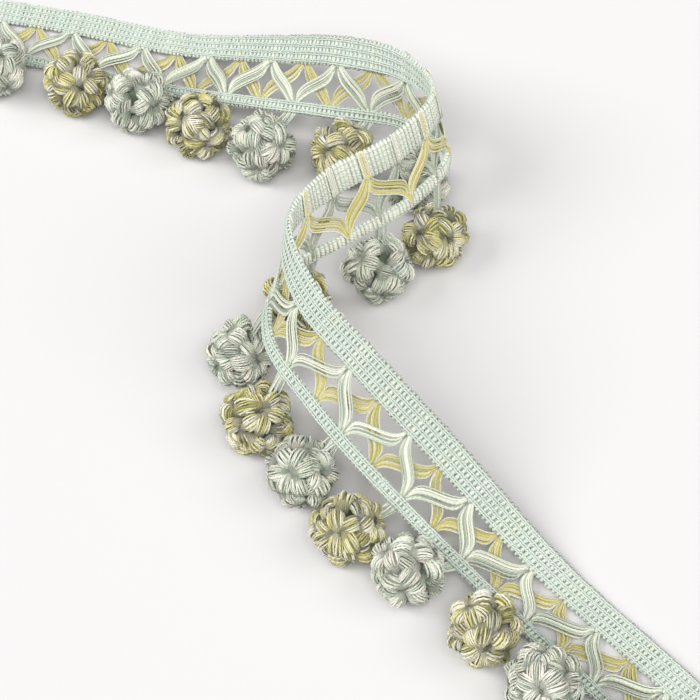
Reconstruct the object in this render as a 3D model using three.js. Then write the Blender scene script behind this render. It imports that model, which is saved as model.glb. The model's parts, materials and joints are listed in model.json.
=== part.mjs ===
// A cut length of pompom fringe trim, laid in a standing S on a table.
// Millimetres, +Z up, the table at z = 0, the origin under the middle of the trim.
//
// A woven heading band carries a trellis of two crossing zigzags of flat yarn
// bundles. A narrow braid runs along the trellis's other edge, and one
// looped-yarn pompom hangs by a thread tie from that braid in every repeat.
// The two ends lie nearly flat. Between them the trim rises and stands on its
// pompom edge round two turns, so its back shows on the middle stretch.

import * as THREE from 'three';
import { mergeVertices } from 'three/addons/utils/BufferGeometryUtils.js';

// ---- Driving sizes ---------------------------------------------------------

const CLEARANCE = 0.3; // between neighbouring pieces

// The trim is measured along its length in repeats, one pompom to a repeat.
const TRIM = { start: 0.3, end: 18.4, bandStepsPerRepeat: 5, yarnStepsPerRepeat: 10 };

// A ribbed band: round ribs on its front, and a flatter back.
const HEADING = { width: 10, ribs: 4, selvedge: 0.5, crest: 0.8, groove: 0.45, back: 0.7 };
const BRAID = { width: 4.2, ribs: 2, selvedge: 0.5, crest: 0.9, groove: 0.45, back: 0.8 };

// A flat bundle of yarn, pinched where it turns at the heading and the braid.
const BUNDLE = { halfWidth: 1.5, halfPinch: 0.8, halfThickness: 0.35 };
const LEG_SLACK = 0.35; // how much of a leg's run is a smooth lean, where 0 is a straight leg
const LEG_TILT = Math.PI / 4; // of a bundle's cut edge at the middle of a leg
const SAGE_OUT = 0.6; // the sage zigzag runs in front of the trellis's middle plane
const OLIVE_OUT = -0.6; // and the olive one behind it

// A pompom is a ball of twelve domed lobes, pressed flat where it rests.
const LOBE_DIP = 0.18; // how far the creases lie inside the ball, as a share of its radius
const REST_HEIGHT = 0.885; // of the centre above the table, as a share of the radius
const LOBE_SPIN = 2.4; // radians from one pompom to the next about its upright axis

const TIE = { braidRadius: 0.8, pompomRadius: 1.2, sides: 6 };

// Where the trim lies. A row for each rise or turn, with two points across the
// trellis there: the heading's inner edge (hx, hy, hz) and the braid's (bx, by, bz).
const LAY = [
  // at     hx      hy     hz      bx      by     bz
  [0.0, -131.5, 148.5, 2.0, -133.0, 135.0, 2.5],
  [1.5, -92.0, 140.0, 2.0, -95.5, 126.0, 2.5],
  [3.0, -54.0, 128.5, 3.5, -58.5, 114.5, 3.5],
  [4.5, -19.5, 114.5, 15.5, -23.5, 101.5, 11.5],
  [5.5, 3.5, 105.5, 23.5, 1.0, 94.5, 15.5],
  [6.5, 27.0, 94.5, 28.5, 27.0, 89.5, 15.0],
  [7.5, 37.5, 72.5, 36.0, 40.5, 68.5, 22.5],
  [8.5, 24.0, 51.0, 38.5, 27.5, 46.5, 25.5],
  [9.5, 3.0, 35.5, 39.5, 6.5, 30.5, 26.5],
  [10.5, -12.0, 15.0, 42.5, -13.5, 13.0, 28.5],
  [11.5, -8.5, -9.5, 42.0, -16.5, -12.5, 30.5],
  [12.5, 7.5, -29.0, 35.5, -2.5, -34.5, 26.0],
  [14.0, 35.5, -54.0, 17.0, 24.5, -62.5, 13.0],
  [15.5, 63.5, -82.5, 3.5, 52.5, -90.0, 3.5],
  [17.5, 102.0, -124.0, 2.0, 91.0, -132.0, 2.5],
  [19.0, 130.0, -156.0, 2.0, 119.0, -164.5, 2.5],
];

// Where each pompom rests, from the first repeat to the last.
const POMPOMS = [
  //  x       y    radius
  [-117.0, 117.5, 11.4],
  [-88.0, 109.5, 11.4],
  [-66.0, 101.5, 11.6],
  [-44.5, 91.0, 11.5],
  [-22.0, 81.0, 11.7],
  [5.5, 77.5, 11.5],
  [31.0, 66.0, 11.3],
  [36.5, 42.0, 11.2],
  [17.0, 28.0, 11.6],
  [-9.0, 14.5, 11.6],
  [-27.5, -5.5, 11.2],
  [-21.5, -32.0, 11.7],
  [-7.0, -51.5, 11.7],
  [7.5, -72.0, 11.6],
  [25.5, -86.5, 11.6],
  [48.5, -107.0, 11.6],
  [65.5, -125.5, 11.8],
  [82.5, -146.0, 11.6],
];

// ---- Finishes --------------------------------------------------------------

const FINISH = {
  mint: { color: '#c4dcd1', roughness: 0.85, metalness: 0 },
  sage: { color: '#a9b9ac', roughness: 0.85, metalness: 0 },
  olive: { color: '#b8ae62', roughness: 0.85, metalness: 0 },
};

function piece(name, geometry, finish) {
  const mesh = new THREE.Mesh(geometry, new THREE.MeshStandardMaterial(FINISH[finish]));
  mesh.name = name;
  return mesh;
}

// ---- The lay: from places on the flat trim to points in space ---------------

// A smooth curve through the rows of a table, whose first column is the place
// along it: a cubic in each gap, with the slope at a row taken from the slopes
// of the gaps on its two sides, each weighted by the other gap's length.
function curveThrough(rows, at) {
  const last = rows.length - 1;
  const slope = (i, column) => {
    const gapSlope = (j) => (rows[j + 1][column] - rows[j][column]) / (rows[j + 1][0] - rows[j][0]);
    if (i === 0) return gapSlope(0);
    if (i === last) return gapSlope(last - 1);
    const before = rows[i][0] - rows[i - 1][0];
    const after = rows[i + 1][0] - rows[i][0];
    return (gapSlope(i - 1) * after + gapSlope(i) * before) / (before + after);
  };
  const next = rows.findIndex((row) => row[0] > at);
  const i = (next < 0 ? last : Math.max(next, 1)) - 1;
  const gap = rows[i + 1][0] - rows[i][0];
  const s = (at - rows[i][0]) / gap;
  const fromHere = (2 * s + 1) * (1 - s) ** 2;
  const slopeHere = s * (1 - s) ** 2 * gap;
  const slopeThere = -(s ** 2) * (1 - s) * gap;
  return rows[i].slice(1).map((here, column) => {
    const there = rows[i + 1][column + 1];
    const bend = slopeHere * slope(i, column + 1) + slopeThere * slope(i + 1, column + 1);
    return fromHere * here + (1 - fromHere) * there + bend;
  });
}

function edgesAt(at) {
  const [hx, hy, hz, bx, by, bz] = curveThrough(LAY, at);
  return { heading: new THREE.Vector3(hx, hy, hz), braid: new THREE.Vector3(bx, by, bz) };
}

function trellisWidth(at) {
  const { heading, braid } = edgesAt(at);
  return heading.distanceTo(braid);
}

const LENGTHWISE_STEP = 0.05; // repeats to each side, to find which way the trim runs

// The point `across` mm from the heading's inner edge, positive out over the
// heading and negative over the trellis, and `out` mm in front of the trim.
function place(at, across, out) {
  const { heading, braid } = edgesAt(at);
  const before = edgesAt(at - LENGTHWISE_STEP);
  const after = edgesAt(at + LENGTHWISE_STEP);
  const widthwise = heading.clone().sub(braid).normalize();
  const middleAfter = after.heading.add(after.braid);
  const lengthwise = middleAfter.sub(before.heading).sub(before.braid);
  const front = lengthwise.cross(widthwise).normalize();
  return heading.addScaledVector(widthwise, across).addScaledVector(front, out);
}

// Evenly spaced places along the whole trim.
function placesAlong(stepsPerRepeat) {
  const count = Math.round((TRIM.end - TRIM.start) * stepsPerRepeat);
  return Array.from({ length: count + 1 }, (_, i) => {
    return TRIM.start + ((TRIM.end - TRIM.start) * i) / count;
  });
}

// ---- Shapes ----------------------------------------------------------------

// A closed solid through a row of rings, which all have the same number of
// points and turn anticlockwise about the way the row runs. `cap` is the ring
// flattened, which tells how its two end faces split into triangles.
function loft(rings, cap) {
  const size = rings[0].length;
  const faces = [];
  for (let i = 0; i + 1 < rings.length; i += 1) {
    for (let j = 0; j < size; j += 1) {
      const k = (j + 1) % size;
      const here = i * size;
      const there = here + size;
      faces.push(here + j, here + k, there + k, here + j, there + k, there + j);
    }
  }
  const lastRing = (rings.length - 1) * size;
  const outline = cap.map(([x, y]) => new THREE.Vector2(x, y));
  for (const [a, b, c] of THREE.ShapeUtils.triangulateShape(outline, [])) {
    faces.push(c, b, a, lastRing + a, lastRing + b, lastRing + c);
  }
  const geometry = new THREE.BufferGeometry().setFromPoints(rings.flat());
  geometry.setIndex(faces);
  geometry.computeVertexNormals();
  return geometry;
}

// A ribbed band's cut face, anticlockwise from its inner selvedge: along the
// flat back, and home over the ribs.
function ribbedSection({ width, ribs, selvedge, crest, groove, back }) {
  const ribWidth = (width - 2 * selvedge) / ribs;
  const section = [
    [0, 0],
    [2 * selvedge, -back],
    [width - 2 * selvedge, -back],
    [width, 0],
  ];
  for (let rib = ribs - 1; rib >= 0; rib -= 1) {
    section.push([selvedge + (rib + 0.5) * ribWidth, crest]);
    if (rib > 0) section.push([selvedge + rib * ribWidth, groove]);
  }
  return section;
}

function heading() {
  const section = ribbedSection(HEADING);
  const rings = placesAlong(TRIM.bandStepsPerRepeat).map((at) => {
    return section.map(([across, out]) => place(at, across, out));
  });
  return loft(rings, section);
}

function lowerBraid() {
  const section = ribbedSection(BRAID);
  const rings = placesAlong(TRIM.bandStepsPerRepeat).map((at) => {
    const innerEdge = -trellisWidth(at) - BRAID.width;
    return section.map(([across, out]) => place(at, innerEdge + across, out));
  });
  return loft(rings, section);
}

const ROUNDING = 1e-6; // so a leg's first place never counts in the leg before

// One zigzag of the trellis. It turns at the braid in every repeat, where the
// place along the trim less `lowTurn` is whole, and at the heading half a
// repeat later. Its legs leave each turn steeply and lean over in the middle.
function zigzag(lowTurn, out) {
  const { halfWidth, halfPinch, halfThickness } = BUNDLE;
  const turnDepth = CLEARANCE + halfPinch;
  const cap = [
    [-1, -1],
    [1, -1],
    [1, 1],
    [-1, 1],
  ];
  const rings = placesAlong(TRIM.yarnStepsPerRepeat).map((along) => {
    const legsRun = 2 * (along - lowTurn);
    const leg = Math.floor(legsRun + ROUNDING);
    const f = legsRun - leg;
    const rising = leg % 2 === 0;
    const smooth = f * f * (3 - 2 * f);
    const at = lowTurn + (leg + (1 - LEG_SLACK) * f + LEG_SLACK * smooth) / 2;
    const climb = rising ? f : 1 - f;
    const depth = turnDepth + (trellisWidth(at) - 2 * turnDepth) * (1 - climb);
    // Across the bundle: straight up at a turn, square to the leg between turns.
    const tilt = Math.sin(Math.PI * f) * (rising ? -LEG_TILT : LEG_TILT);
    const half = halfPinch + (halfWidth - halfPinch) * Math.sin(Math.PI * f);
    const length = repeatLength(at);
    return cap.map(([side, face]) => {
      const lean = (side * half * Math.sin(tilt)) / length;
      const up = side * half * Math.cos(tilt);
      return place(at + lean, up - depth, out + face * halfThickness);
    });
  });
  return loft(rings, cap);
}

function repeatLength(at) {
  return edgesAt(at + 0.5).heading.distanceTo(edgesAt(at - 0.5).heading);
}

// How far a lobed ball of radius 1 reaches in a direction: a dome round each of
// the icosahedron's twelve corners, lowest where three domes meet.
const LOBE_AXES = [];
for (const [short, long] of [
  [1, 1],
  [1, -1],
  [-1, 1],
  [-1, -1],
]) {
  const golden = (1 + Math.sqrt(5)) / 2;
  LOBE_AXES.push(new THREE.Vector3(0, short, long * golden).normalize());
  LOBE_AXES.push(new THREE.Vector3(short, long * golden, 0).normalize());
  LOBE_AXES.push(new THREE.Vector3(long * golden, 0, short).normalize());
}
const CREASE_ANGLE = Math.acos(Math.sqrt((5 + 2 * Math.sqrt(5)) / 15)); // of a three-way crease

function lobeReach(direction) {
  const nearest = Math.min(...LOBE_AXES.map((axis) => axis.angleTo(direction)));
  return 1 - LOBE_DIP * (nearest / CREASE_ANGLE) ** 2;
}

// One lobe points straight down, and each pompom is spun a little further.
function lobeTurn(index) {
  const upright = new THREE.Quaternion();
  upright.setFromUnitVectors(LOBE_AXES[0], new THREE.Vector3(0, 0, 1));
  const spin = new THREE.Quaternion();
  spin.setFromAxisAngle(new THREE.Vector3(0, 0, 1), LOBE_SPIN * index);
  return spin.multiply(upright);
}

function pompom(index) {
  const [x, y, radius] = POMPOMS[index];
  const turn = lobeTurn(index);
  const ball = new THREE.IcosahedronGeometry(1, 2);
  ball.deleteAttribute('uv');
  ball.deleteAttribute('normal');
  const geometry = mergeVertices(ball);
  const points = geometry.getAttribute('position');
  const point = new THREE.Vector3();
  for (let i = 0; i < points.count; i += 1) {
    point.fromBufferAttribute(points, i);
    point.multiplyScalar(radius * lobeReach(point)).applyQuaternion(turn);
    point.z = Math.max(point.z, -REST_HEIGHT * radius);
    points.setXYZ(i, point.x, point.y, point.z);
  }
  geometry.computeVertexNormals();
  geometry.computeBoundingSphere();
  const mesh = piece(`pompom_${numbered(index)}`, geometry, index % 2 === 0 ? 'sage' : 'olive');
  mesh.position.set(x, y, REST_HEIGHT * radius);
  return mesh;
}

// How far a ball reaches from its centre towards a tie, anywhere across its end.
function reachTowards(ball, direction) {
  ball.updateMatrixWorld();
  const across = new THREE.Vector3(0, 0, 1).cross(direction).setLength(TIE.pompomRadius);
  const outside = 2 * ball.geometry.boundingSphere.radius;
  const reaches = Array.from({ length: TIE.sides }, (_, side) => {
    const rim = across.clone().applyAxisAngle(direction, (2 * Math.PI * side) / TIE.sides);
    const start = ball.position.clone().addScaledVector(direction, outside).add(rim);
    const ray = new THREE.Raycaster(start, direction.clone().negate());
    return outside - ray.intersectObject(ball)[0].distance;
  });
  return Math.max(...reaches);
}

// A tie runs from the braid's outer selvedge to the nearest face of its pompom.
function tie(index, ball) {
  const at = index + 1;
  const selvedge = place(at, -trellisWidth(at) - BRAID.width, 0);
  const direction = ball.position.clone().sub(selvedge).normalize();
  const reach = reachTowards(ball, direction.clone().negate());
  const length = ball.position.distanceTo(selvedge) - reach - 2 * CLEARANCE;
  const geometry = new THREE.CylinderGeometry(TIE.pompomRadius, TIE.braidRadius, length, TIE.sides);
  const mesh = piece(`tie_${numbered(index)}`, geometry, 'mint');
  mesh.position.copy(selvedge).addScaledVector(direction, CLEARANCE + length / 2);
  mesh.quaternion.setFromUnitVectors(new THREE.Vector3(0, 1, 0), direction);
  return mesh;
}

function numbered(index) {
  return String(index + 1).padStart(2, '0');
}

// ---- The trim --------------------------------------------------------------

const trim = new THREE.Group();
trim.add(piece('heading', heading(), 'mint'));
trim.add(piece('lower_braid', lowerBraid(), 'mint'));
trim.add(piece('trellis_sage', zigzag(0, SAGE_OUT), 'sage'));
trim.add(piece('trellis_olive', zigzag(0.5, OLIVE_OUT), 'olive'));

for (let index = 0; index < POMPOMS.length; index += 1) {
  const ball = pompom(index);
  trim.add(ball, tie(index, ball));
}

export default trim;
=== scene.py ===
"""A cut length of pompom fringe trim, laid in a standing S on a pale table.

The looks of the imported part: two woven bands, a trellis of flat yarn bundles, and looped-yarn
pompoms on thread ties. All lengths are metres, in the part's own frame.
"""

import json
import math
from functools import partial

import bpy
import numpy as np
from bpy.props import FloatProperty, FloatVectorProperty, IntProperty, PointerProperty
from bpy.types import Operator, Panel, PropertyGroup
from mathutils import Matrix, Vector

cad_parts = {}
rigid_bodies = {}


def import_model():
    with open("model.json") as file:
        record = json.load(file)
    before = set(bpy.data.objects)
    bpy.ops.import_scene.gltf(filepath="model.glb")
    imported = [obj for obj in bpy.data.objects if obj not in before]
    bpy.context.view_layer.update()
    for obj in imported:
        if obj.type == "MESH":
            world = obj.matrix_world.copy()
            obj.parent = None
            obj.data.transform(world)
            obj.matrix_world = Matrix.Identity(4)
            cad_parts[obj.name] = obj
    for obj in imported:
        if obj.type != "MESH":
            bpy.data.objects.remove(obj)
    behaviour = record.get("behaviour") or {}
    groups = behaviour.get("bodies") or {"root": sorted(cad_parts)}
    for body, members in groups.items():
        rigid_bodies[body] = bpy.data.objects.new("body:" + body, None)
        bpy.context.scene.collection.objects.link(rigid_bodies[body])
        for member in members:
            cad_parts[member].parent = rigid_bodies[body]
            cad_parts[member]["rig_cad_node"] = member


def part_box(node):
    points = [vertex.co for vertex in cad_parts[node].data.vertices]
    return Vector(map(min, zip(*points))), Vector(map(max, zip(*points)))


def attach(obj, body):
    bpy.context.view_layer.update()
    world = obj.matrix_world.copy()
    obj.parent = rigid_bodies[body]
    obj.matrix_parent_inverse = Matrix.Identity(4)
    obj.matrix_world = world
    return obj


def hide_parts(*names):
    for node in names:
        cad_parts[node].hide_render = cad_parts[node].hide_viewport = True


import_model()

bl_info = {
    "name": "Pompom Fringe Trim",
    "version": (1, 0, 0),
    "blender": (4, 5, 0),
    "location": "View3D > Sidebar > Trim",
    "description": "Weaves, laces and winds a cut length of pompom fringe trim",
    "category": "Object",
}

MM = 0.001
YARN_UV = "yarn"  # millimetres along a yarn, and turns round it
YARN_COLOUR = "yarn_colour"
SEEDS = {"heading": 11, "lower_braid": 12, "trellis": 13, "ties": 14, "pompoms": 200}

# ---- The lay of the trim -----------------------------------------------------

# The trim is measured along its length in repeats, one pompom to a repeat.
TRIM_START, TRIM_END = 0.3, 18.4
PICKS_PER_REPEAT = 17
POMPOMS = 18
REST_HEIGHT = 0.885  # of a pompom's centre above the table, as a share of its radius

# Two points across the trellis, in millimetres, at places along the trim: the
# heading's inner edge (hx, hy, hz) and the lower braid's (bx, by, bz).
LAY = np.array([
    # at     hx      hy     hz      bx      by     bz
    (0.0, -131.5, 148.5, 2.0, -133.0, 135.0, 2.5),
    (1.5, -92.0, 140.0, 2.0, -95.5, 126.0, 2.5),
    (3.0, -54.0, 128.5, 3.5, -58.5, 114.5, 3.5),
    (4.5, -19.5, 114.5, 15.5, -23.5, 101.5, 11.5),
    (5.5, 3.5, 105.5, 23.5, 1.0, 94.5, 15.5),
    (6.5, 27.0, 94.5, 28.5, 27.0, 89.5, 15.0),
    (7.5, 37.5, 72.5, 36.0, 40.5, 68.5, 22.5),
    (8.5, 24.0, 51.0, 38.5, 27.5, 46.5, 25.5),
    (9.5, 3.0, 35.5, 39.5, 6.5, 30.5, 26.5),
    (10.5, -12.0, 15.0, 42.5, -13.5, 13.0, 28.5),
    (11.5, -8.5, -9.5, 42.0, -16.5, -12.5, 30.5),
    (12.5, 7.5, -29.0, 35.5, -2.5, -34.5, 26.0),
    (14.0, 35.5, -54.0, 17.0, 24.5, -62.5, 13.0),
    (15.5, 63.5, -82.5, 3.5, 52.5, -90.0, 3.5),
    (17.5, 102.0, -124.0, 2.0, 91.0, -132.0, 2.5),
    (19.0, 130.0, -156.0, 2.0, 119.0, -164.5, 2.5),
])
LENGTHWISE_STEP = 0.05  # repeats to each side, to find which way the trim runs


def unit(vectors):
    """Each vector over its own length."""
    return vectors / np.linalg.norm(vectors, axis=-1, keepdims=True)


def lay_points(at):
    """The heading's and the braid's inner edge at places along the trim.

    A cubic through the rows of LAY. The slope at a row is the mean of the slopes of the gaps on
    its two sides, each weighted by the other gap's length, and an end row has its one gap's slope.
    """
    place, rows = LAY[:, 0], LAY[:, 1:] * MM
    gap = np.diff(place)[:, None]
    rise = np.diff(rows, axis=0) / gap
    inner = (rise[:-1] * gap[1:] + rise[1:] * gap[:-1]) / (gap[:-1] + gap[1:])
    slope = np.vstack([rise[:1], inner, rise[-1:]])
    i = np.clip(np.searchsorted(place, at, side="right") - 1, 0, len(place) - 2)
    s = ((at - place[i]) / gap[i, 0])[..., None]
    from_here = (2 * s + 1) * (1 - s) ** 2
    bend = s * (1 - s) ** 2 * gap[i] * slope[i] - s**2 * (1 - s) * gap[i] * slope[i + 1]
    both = from_here * rows[i] + (1 - from_here) * rows[i + 1] + bend
    return both[..., :3], both[..., 3:]


def trellis_width(at):
    """The distance between the two bands' inner edges."""
    heading, braid = lay_points(at)
    return np.linalg.norm(heading - braid, axis=-1)


def lay_axes(at):
    """Unit vectors lengthwise, widthwise (braid to heading) and out of the trim's front."""
    heading, braid = lay_points(at)
    ahead, behind = lay_points(at + LENGTHWISE_STEP), lay_points(at - LENGTHWISE_STEP)
    widthwise = unit(heading - braid)
    along = ahead[0] + ahead[1] - behind[0] - behind[1]
    front = unit(np.cross(along, widthwise))
    return unit(np.cross(widthwise, front)), widthwise, front


def lay_place(at, across, out):
    """Points `across` from the heading's inner edge, outwards positive, and `out` in front."""
    at, across, out = np.broadcast_arrays(at, across, out)
    heading = lay_points(at)[0]
    _, widthwise, front = lay_axes(at)
    return heading + widthwise * across[..., None] + front * out[..., None]


# ---- Making meshes -----------------------------------------------------------


def skin(rings, along, colours, closed=False, lanes=1):
    """Closed skins over rows of rings.

    `rings` is (rows, rings, points, 3), each ring anticlockwise about the way its row runs.
    Neighbouring points and rings are joined by four-sided faces. A closed row meets itself, and
    an open one gets a face over each end. `along` is the distance down each row, `colours`
    (rows, rings, 3). The map's second number counts the `lanes` of yarn round a ring, with a
    lane's middle where it is whole.
    """
    rows, count, size = rings.shape[:3]
    spans = count if closed else count - 1
    r = np.arange(rows)[:, None, None] * count
    i = np.arange(spans)[None, :, None]
    j = np.arange(size)[None, None, :]
    here, there = (r + i) * size, (r + (i + 1) % count) * size
    after = (j + 1) % size
    quads = np.stack([here + j, here + after, there + after, there + j], axis=-1)
    if closed:
        lap = np.linalg.norm(rings[:, 0].mean(1) - rings[:, -1].mean(1), axis=-1)
        along = np.concatenate([along, along[:, -1:] + lap[:, None]], axis=1)
    u = along[:, :, None] / MM
    u0, u1 = np.broadcast_arrays(u[:, :spans], u[:, 1 : spans + 1], np.zeros(quads.shape[:3]))[:2]
    lane = lanes * np.arange(size + 1) / size + (lanes - 1) / 2
    v0, v1 = np.broadcast_to(lane[j], u0.shape), np.broadcast_to(lane[j + 1], u0.shape)
    corner_u = np.stack([u0, u0, u1, u1], axis=-1)
    corner_v = np.stack([v0, v1, v1, v0], axis=-1)
    faces = [(quads.reshape(-1, 4), np.stack([corner_u, corner_v], axis=-1).reshape(-1, 4, 2))]
    if not closed:
        first = (r[:, 0] * size) + np.arange(size)
        last = first + (count - 1) * size
        lane = np.broadcast_to(lane[:-1], (rows, size))
        start_uv = np.stack([np.repeat(u[:, 0], size, axis=1), lane], axis=-1)
        end_uv = np.stack([np.repeat(u[:, -1], size, axis=1), lane], axis=-1)
        faces.append((first[:, ::-1], start_uv[:, ::-1]))
        faces.append((last, end_uv))
    paint = np.broadcast_to(colours[:, :, None, :], rings.shape)
    return {"points": rings.reshape(-1, 3), "faces": faces, "colours": paint.reshape(-1, 3)}


def lengths_along(paths):
    """The distance from the first point of each path to each of its points."""
    steps = np.linalg.norm(np.diff(paths, axis=1), axis=-1)
    return np.concatenate([np.zeros((len(paths), 1)), np.cumsum(steps, axis=1)], axis=1)


def yarns(paths, radius, reference, colours, sides=5, flat=1.0, closed=False, starts=0.0,
          lanes=1):
    """Round yarns along paths.

    Round each point of a path stands a ring, square to the way the path runs there: `radius`
    towards the reference direction, and `flat` times that square to it, on the reference's
    crossing with the way the path runs, where the shader leaves the yarn lightest; round the far
    side it paints shade. `starts` shifts where each yarn's twist begins, and `lanes` is how many
    yarns lie side by side round the ring, each with painted shade where it meets the next.
    """
    rows, count = paths.shape[:2]
    if closed:
        tangent = unit(np.roll(paths, -1, axis=1) - np.roll(paths, 1, axis=1))
    else:
        tangent = unit(np.gradient(paths, axis=1))
    side = unit(np.cross(np.broadcast_to(reference, paths.shape), tangent))
    up = np.cross(tangent, side)
    angle = 2 * math.pi * np.arange(sides) / sides
    radius = np.broadcast_to(radius, (rows, count))[:, :, None, None]
    flat = np.broadcast_to(flat, (rows, count))[:, :, None, None]
    ring = (side[:, :, None] * np.cos(angle)[:, None] * flat
            + up[:, :, None] * np.sin(angle)[:, None])
    along = lengths_along(paths) + np.broadcast_to(starts, (rows,))[:, None]
    paint = np.broadcast_to(colours, (rows, count, 3))
    return skin(paths[:, :, None] + radius * ring, along, paint, closed, lanes)


def laid_yarns(rng, paths, radius, front, colours):
    """Round yarns kept on or above the table, with the side that the shader leaves lightest to the
    front, and its painted shade behind.
    """
    paths[..., 2] = np.maximum(paths[..., 2], radius)
    reference = np.cross(np.gradient(paths, axis=1), front)
    return yarns(paths, radius, reference, colours, starts=rng.uniform(0, 3, len(paths)))


def add_object(name, data):
    """An object in the scene, at the origin."""
    thing = bpy.data.objects.new(name, data)
    bpy.context.scene.collection.objects.link(thing)
    return thing


def make_piece(name, shapes, material):
    """Join shapes into one mesh object at the origin, with the yarn's UV map and colours."""
    points = np.concatenate([shape["points"] for shape in shapes])
    paint = np.concatenate([shape["colours"] for shape in shapes])
    corners, corner_uv, sizes, base = [], [], [], 0
    for shape in shapes:
        for faces, uv in shape["faces"]:
            corners.append((faces + base).ravel())
            corner_uv.append(uv.reshape(-1, 2))
            sizes.append(np.full(len(faces), faces.shape[1]))
        base += len(shape["points"])
    corners, sizes = np.concatenate(corners), np.concatenate(sizes)
    mesh = bpy.data.meshes.new(name)
    mesh.vertices.add(len(points))
    mesh.vertices.foreach_set("co", points.astype(np.float32).ravel())
    mesh.loops.add(len(corners))
    mesh.loops.foreach_set("vertex_index", corners.astype(np.int32))
    mesh.polygons.add(len(sizes))
    starts = np.concatenate([[0], np.cumsum(sizes)[:-1]])
    mesh.polygons.foreach_set("loop_start", starts.astype(np.int32))
    mesh.update(calc_edges=True)
    uv_map = mesh.uv_layers.new(name=YARN_UV)
    uv_map.data.foreach_set("uv", np.concatenate(corner_uv).astype(np.float32).ravel())
    painted = mesh.color_attributes.new(name=YARN_COLOUR, type="FLOAT_COLOR", domain="POINT")
    rgba = np.column_stack([paint, np.ones(len(paint))])
    painted.data.foreach_set("color", rgba.astype(np.float32).ravel())
    mesh.shade_smooth()
    if mesh.validate(verbose=False):
        raise RuntimeError(f"{name}: its mesh had faults")
    mesh.materials.append(material)
    piece = add_object(name, mesh)
    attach(piece, "root")
    return piece


# ---- Sizes and colours -------------------------------------------------------


def length(name, description, millimetres):
    """A size property, kept in metres."""
    return FloatProperty(name=name, description=description, default=millimetres * MM, min=0.0,
                         unit="LENGTH", precision=5)


def share(name, description, default, highest=1.0):
    """A plain number from 0 to `highest`."""
    return FloatProperty(name=name, description=description, default=default, min=0.0,
                         max=highest, precision=3)


def linear(byte):
    """A display value from 0 to 255 as scene-linear light."""
    value = byte / 255
    return value / 12.92 if value <= 0.04045 else ((value + 0.055) / 1.055) ** 2.4


def dye(name, description, red, green, blue):
    """A colour property, from display values of 0 to 255."""
    return FloatVectorProperty(name=name, description=description, subtype="COLOR", size=3,
                               min=0.0, max=1.0, default=(linear(red), linear(green), linear(blue)))


class TrimDyesLightAndShade(PropertyGroup):
    """The colours of the yarns, with the painted shade inside the pompoms, and the bands' ground, kept
    pale to paint light into the slots.
    """

    pale_mint: dye("Pale mint", "Lightest yarn of the bands", 210, 221, 209)
    mint: dye("Mint", "Yarn of the bands", 204, 218, 208)
    back_weft: dye("Back weft", "What a pick fades to on the back of the bands", 244, 244, 226)
    # Partly painted light: the bands' ground is kept paler than the mint weft, so that the slots
    # between picks read light.
    ground_mint: dye("Ground mint", "Ground of the bands, under the weft", 240, 248, 240)
    cream: dye("Cream", "Cream yarn, in every part of the trim", 249, 246, 232)
    soft_sage: dye("Soft sage", "Light grey-green yarn", 229, 235, 216)
    sage: dye("Sage", "Grey-green yarn", 202, 211, 192)
    slate: dye("Slate", "Deepest of the sage yarns", 160, 173, 157)
    # Painted shade: the sage yarn darkened to stand for the shade deep inside a pompom.
    sage_crevice_shade: dye("Dark sage", "Sage yarn deep inside a pompom", 78, 94, 72)
    gold: dye("Gold", "Yellow-green yarn", 237, 227, 158)
    olive: dye("Olive", "Olive yarn", 206, 201, 120)
    moss: dye("Moss", "Deepest of the olive yarns", 148, 145, 70)
    # Painted shade: the olive yarn darkened to stand for the shade deep inside a pompom.
    olive_crevice_shade: dye("Dark olive", "Olive yarn deep inside a pompom", 48, 49, 16)
    butter: dye("Butter", "Warm cream yarn beside the olive", 240, 235, 205)
    blush: dye("Blush", "Pinkish beige yarn", 241, 229, 218)
    mauve: dye("Mauve", "Greyish mauve yarn", 211, 208, 198)


def dyed(dyes, keys):
    """The colours of the named dyes, one to a row."""
    return np.array([getattr(dyes, key) for key in keys])


BAND_SIZES = (
    # key, label, description, and the size in the heading and in the lower braid
    ("width", "Width", "Across the band, without the turns of its picks", 10.0, 4.2),
    ("edge", "Edge", "From an edge to the middle of its first rib", 0.95, 0.8),
    ("crest", "Crest", "Front of a rib above the band's middle", 0.95, 1.0),
    ("groove", "Groove", "Front of a groove above the band's middle", 0.6, 0.62),
    ("back", "Back", "Back of the band behind its middle", 0.7, 0.8),
    ("weft_half", "Weft half width", "Half a pick, along the front", 0.88, 0.88),
    ("back_half", "Back half width", "Half a pick, along the back", 1.05, 1.05),
    ("weft_thickness", "Weft half thickness", "Half a pick, through the band", 0.3, 0.3),
    ("thread_gap", "Thread gap", "Between the middles of the two threads along a rib", 0.75, 0.8),
    ("thread_radius", "Thread radius", "Radius of a thread along a rib", 0.34, 0.34),
    ("back_thread", "Back thread", "Radius of a thread along the back", 0.19, 0.17),
    ("upper_reach", "Upper reach", "How far a pick's turn stands out of the upper edge", 0.8, 0.4),
    ("lower_reach", "Lower reach", "How far a pick's turn stands out of the lower edge", 0.45, 0.5),
)


def band_sizes(column):
    """The sizes that both bands have, with the defaults from one column of the table."""
    return {row[0]: length(row[1], row[2], row[column]) for row in BAND_SIZES}


class HeadingSizes(PropertyGroup):
    """The woven heading."""

    __annotations__ = band_sizes(3)
    ribs: IntProperty(name="Ribs", description="Cords along the front", default=4, min=1)
    light: share("Light", "Share of pale mint in the yarn", 0.6)
    tint: share("Tint", "Share of the trellis's colours in a pick where it crosses", 0.25)


class LowerBraidSizes(PropertyGroup):
    """The narrow braid that carries the pompoms."""

    __annotations__ = band_sizes(4)
    ribs: IntProperty(name="Ribs", description="Cords along the front", default=2, min=1)
    light: share("Light", "Share of pale mint in the yarn", 0.55)
    tint: share("Tint", "Share of the trellis's colours in a pick where it crosses", 0.1)


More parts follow.
